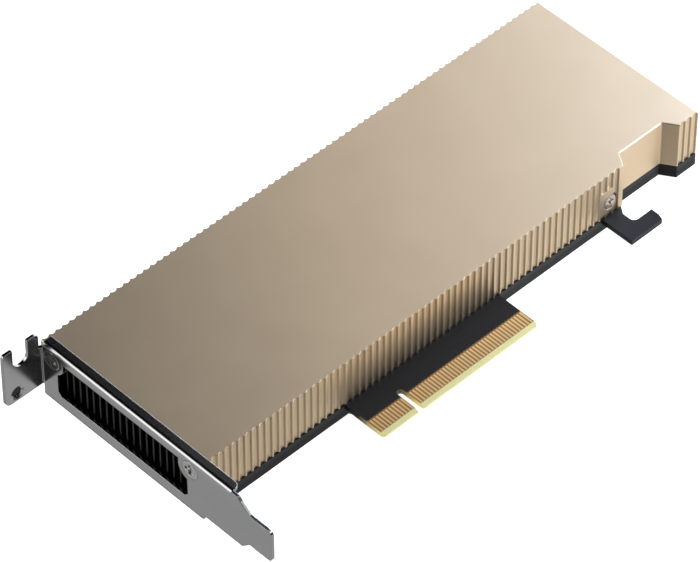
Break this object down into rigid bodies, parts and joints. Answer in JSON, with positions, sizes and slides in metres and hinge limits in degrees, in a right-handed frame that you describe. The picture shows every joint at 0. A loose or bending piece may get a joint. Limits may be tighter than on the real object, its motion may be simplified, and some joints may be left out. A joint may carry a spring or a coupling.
{
  "type": "passive accelerator card",
  "caption": "Low-profile passive accelerator card: fluted metal shroud over a finned heat sink, black board with edge connector and hook, plated bracket with vent and slotted ear.",
  "frame": {"origin": "middle of the connector's key slot, on the tab's tip edge, at the board's component face", "axes": "+X along the card from the bracket to the far end, +Y from the connector's tip up to the card's top edge, +Z out of the component face"},
  "size_m": [0.1792, 0.0796, 0.0223],
  "materials": {
    "shroud_metal": "satin champagne anodising",
    "shroud_fastener": "champagne plated",
    "sink_metal": "plain sheet and machined base",
    "board_laminate": "black solder mask on woven glass laminate",
    "contact_plating": "gold plating",
    "backplate_metal": "matte black coating",
    "black_film": "thin polymer film",
    "bracket_plate": "bright nickel plating",
    "bright_fastener": "nickel plating",
    "dark_fastener": "black plating",
    "green_laminate": "package laminate",
    "silicon": "polished bare die",
    "grey_compound": "soft thermal filler",
    "chip_epoxy": "moulded epoxy",
    "ferrite": "pressed ferrite",
    "ceramic_chip": "tan ceramic"
  },
  "bodies": {
    "root": {"circuit_board": "board_laminate", "contacts_front": "contact_plating", "contacts_rear": "contact_plating", "heatsink_shroud": "shroud_metal", "heatsink": "sink_metal", "backplate": "backplate_metal", "insulation_film": "black_film", "bracket": "bracket_plate", "cooler_screws": "dark_fastener", "bracket_screws": "bright_fastener", "side_screws": "shroud_fastener", "gpu_substrate": "green_laminate", "gpu_stiffener": "bright_fastener", "gpu_die": "silicon", "thermal_compound": "grey_compound", "memory_packages": "chip_epoxy", "memory_pads": "grey_compound", "backplate_pads": "grey_compound", "power_inductors": "ferrite", "inductor_pads": "grey_compound", "power_stages": "chip_epoxy", "polymer_capacitors": "chip_epoxy", "voltage_controller": "chip_epoxy", "management_controller": "chip_epoxy", "firmware_flash": "chip_epoxy", "clock_crystal": "bright_fastener", "coupling_capacitors": "ceramic_chip", "rear_capacitors": "ceramic_chip"}
  },
  "joints": []
}
